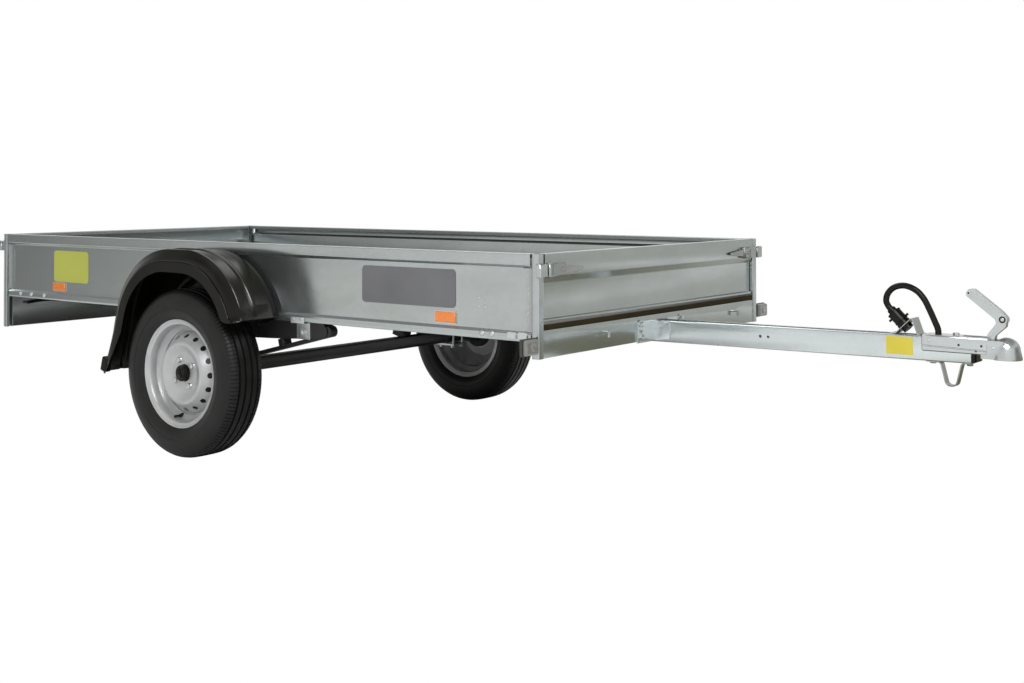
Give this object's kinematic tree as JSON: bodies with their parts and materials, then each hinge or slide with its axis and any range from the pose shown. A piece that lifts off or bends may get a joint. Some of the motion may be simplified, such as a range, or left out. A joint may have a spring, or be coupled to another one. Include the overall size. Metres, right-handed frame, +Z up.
{
  "type": "car trailer",
  "caption": "Open single-axle box trailer with folding end gates, leaf springs, mudguards and a drawbar with ball coupling, parked nose down.",
  "frame": {"origin": "centre of the object's bounding box, on the ground, with the trailer parked nose down on its wheels and foot loop", "axes": "+X forward to the coupling, +Y to the trailer's left, +Z up"},
  "size_m": [3.8604, 1.684, 0.9179],
  "materials": {
    "galvanised": "hot-dip galvanised, faint spangle, satin",
    "satin_steel": "zinc plated, satin",
    "plywood": "phenolic film faced plywood, dark brown",
    "black_paint": "black paint, semi-gloss",
    "black_plastic": "moulded black plastic, satin",
    "silver_paint": "silver paint, satin",
    "tyre_rubber": "road tyre rubber",
    "amber_lens": "amber reflector",
    "clear_lens": "clear lamp lens",
    "red_lens": "red lamp lens"
  },
  "bodies": {
    "chassis": {"floor_board": "plywood", "side_panel_left": "galvanised", "side_panel_right": "galvanised", "corner_post_front_left": "galvanised", "corner_post_front_right": "galvanised", "corner_post_rear_left": "galvanised", "corner_post_rear_right": "galvanised", "front_crossmember": "galvanised", "rear_light_panel": "galvanised", "floor_crossmember_front": "galvanised", "floor_crossmember_rear": "galvanised", "drawbar": "galvanised", "drawbar_bracket_left": "galvanised", "drawbar_bracket_right": "galvanised", "drawbar_end_plug": "black_plastic", "foot_loop": "galvanised", "coupling_body": "galvanised", "plug_holder": "galvanised", "plug": "black_plastic", "plug_lead": "black_plastic", "axle_beam": "black_paint", "spring_rail_left": "black_paint", "spring_rail_right": "black_paint", "leaf_spring_left": "black_paint", "leaf_spring_right": "black_paint", "hanger_front_left": "galvanised", "hanger_front_right": "galvanised", "hanger_rear_left": "galvanised", "hanger_rear_right": "galvanised", "mudguard_left": "black_plastic", "mudguard_right": "black_plastic", "marker_lamp_left": "clear_lens", "marker_lamp_right": "clear_lens", "rear_lamp_left": "red_lens", "rear_lamp_right": "red_lens", "reflector_front_left": "amber_lens", "reflector_front_right": "amber_lens", "reflector_rear_left": "amber_lens", "reflector_rear_right": "amber_lens"},
    "front_gate": {"front_gate": "galvanised", "gate_latch_front_left": "satin_steel", "gate_latch_front_right": "satin_steel"},
    "rear_gate": {"rear_gate": "galvanised", "gate_latch_rear_left": "satin_steel", "gate_latch_rear_right": "satin_steel"},
    "coupling_lever": {"coupling_lever": "galvanised"},
    "wheel_left": {"tyre_left": "tyre_rubber", "wheel_rim_left": "silver_paint", "wheel_hub_left": "black_paint"},
    "wheel_right": {"tyre_right": "tyre_rubber", "wheel_rim_right": "silver_paint", "wheel_hub_right": "black_paint"}
  },
  "joints": [
    {"name": "wheel_left_spin", "type": "hinge", "parent": "chassis", "child": "wheel_left", "pos_m": [-0.59539, 0.75, 0.28412], "axis": [0, 1, 0], "continuous": true},
    {"name": "wheel_right_spin", "type": "hinge", "parent": "chassis", "child": "wheel_right", "pos_m": [-0.59539, -0.75, 0.28412], "axis": [0, 1, 0], "continuous": true},
    {"name": "front_gate_hinge", "type": "hinge", "parent": "chassis", "child": "front_gate", "pos_m": [0.81498, 0, 0.31735], "axis": [0, 1, 0], "range_deg": [0, 95]},
    {"name": "rear_gate_hinge", "type": "hinge", "parent": "chassis", "child": "rear_gate", "pos_m": [-1.8577, 0, 0.7277], "axis": [0, -1, 0], "range_deg": [0, 130]},
    {"name": "coupling_lever_hinge", "type": "hinge", "parent": "chassis", "child": "coupling_lever", "pos_m": [1.8514, 0, 0.10259], "axis": [0, -1, 0], "range_deg": [0, 38]}
  ]
}
